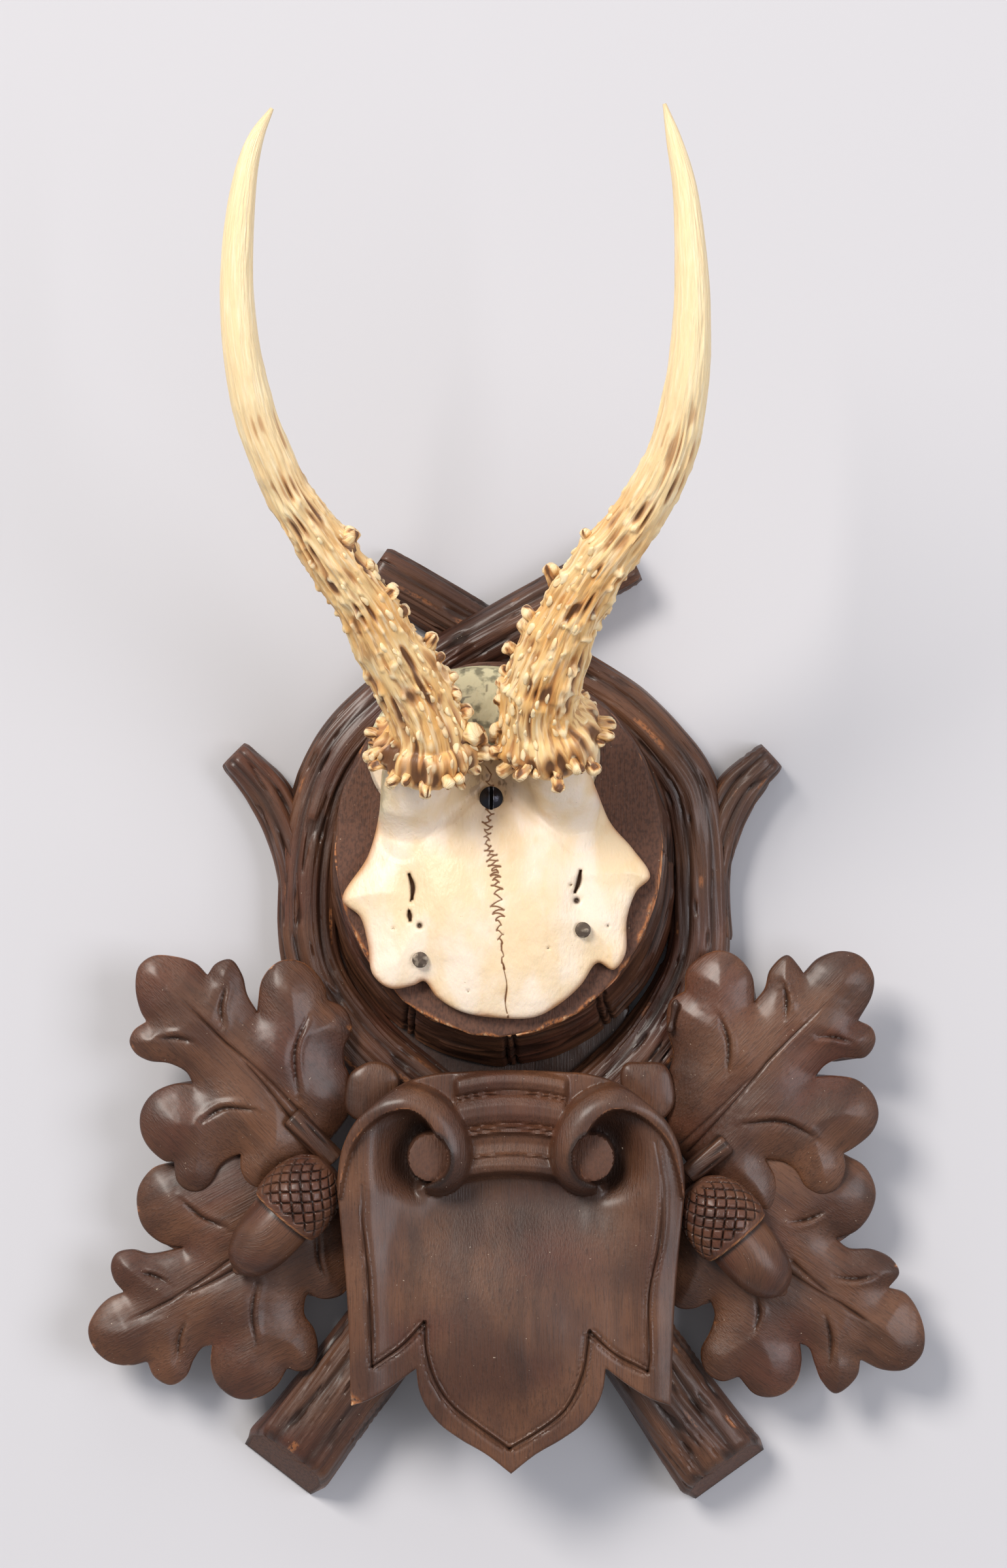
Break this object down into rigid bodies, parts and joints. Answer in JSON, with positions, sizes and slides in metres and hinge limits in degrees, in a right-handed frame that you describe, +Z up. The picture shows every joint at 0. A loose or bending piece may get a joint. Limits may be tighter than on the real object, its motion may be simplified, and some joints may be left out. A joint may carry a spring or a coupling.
{
  "type": "antler mounting plaque",
  "caption": "Dark carved wooden wall plaque of crossed branches, oak leaves, acorns and a scroll-topped shield, carrying a roe buck's skull plate and spike antlers.",
  "frame": {"origin": "on the flat back that lies against the wall, behind the middle of the log boss", "axes": "+Z up, -Y out of the wall towards the viewer, X across, +X to the viewer's right"},
  "size_m": [0.2372, 0.1309, 0.3818],
  "materials": {
    "stained_wood": "dark walnut stain under satin shellac, worn brown at the edges",
    "bone": "dry cream bone, golden tan and furrowed low on the antlers, ivory and smooth at the tips",
    "darkened_steel": "blued dark steel, glossy",
    "worn_steel": "dull brown steel, flat head"
  },
  "bodies": {
    "root": {"carved_backboard": "stained_wood", "left_oak_spray": "stained_wood", "right_oak_spray": "stained_wood", "shield": "stained_wood", "skull_with_antlers": "bone", "skull_screw": "darkened_steel", "left_nail": "worn_steel", "right_nail": "worn_steel"}
  },
  "joints": []
}
